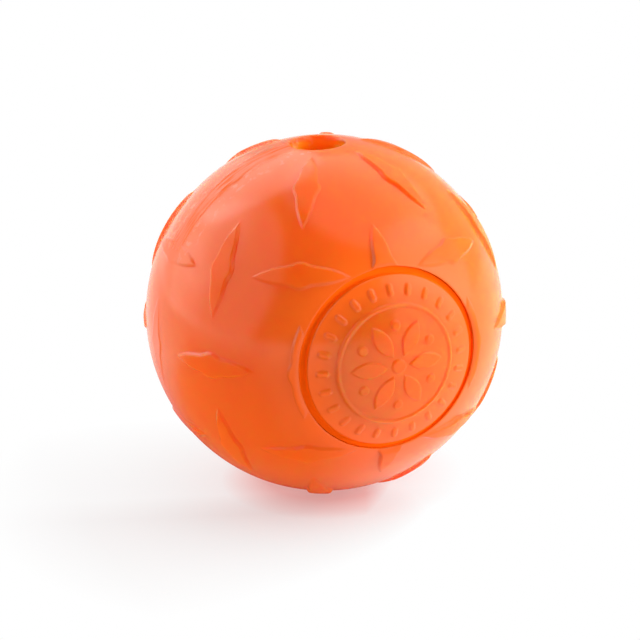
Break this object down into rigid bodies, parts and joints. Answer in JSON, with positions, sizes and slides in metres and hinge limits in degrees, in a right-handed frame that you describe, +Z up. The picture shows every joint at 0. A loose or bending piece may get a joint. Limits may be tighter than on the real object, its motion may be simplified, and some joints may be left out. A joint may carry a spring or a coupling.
{
  "type": "dog chew ball",
  "caption": "Hollow elastomer dog chew ball with a raised diamond-plate tread, a round mouth at top and bottom for treats, and a plain ornamental medallion on its side.",
  "frame": {"origin": "middle of the flat land round the lower mouth, on which the ball stands", "axes": "+Z up along the line through both mouths; -Y out through the medallion; the seam lies in the XZ plane"},
  "size_m": [0.0774, 0.0771, 0.0749],
  "materials": {
    "elastomer": "glossy moulded, slightly translucent",
    "bond": "matt"
  },
  "bodies": {
    "root": {"front_half_shell": "elastomer", "rear_half_shell": "elastomer", "medallion_disc": "elastomer", "seam_bead_left": "bond", "seam_bead_right": "bond", "medallion_bead": "bond"}
  },
  "joints": []
}
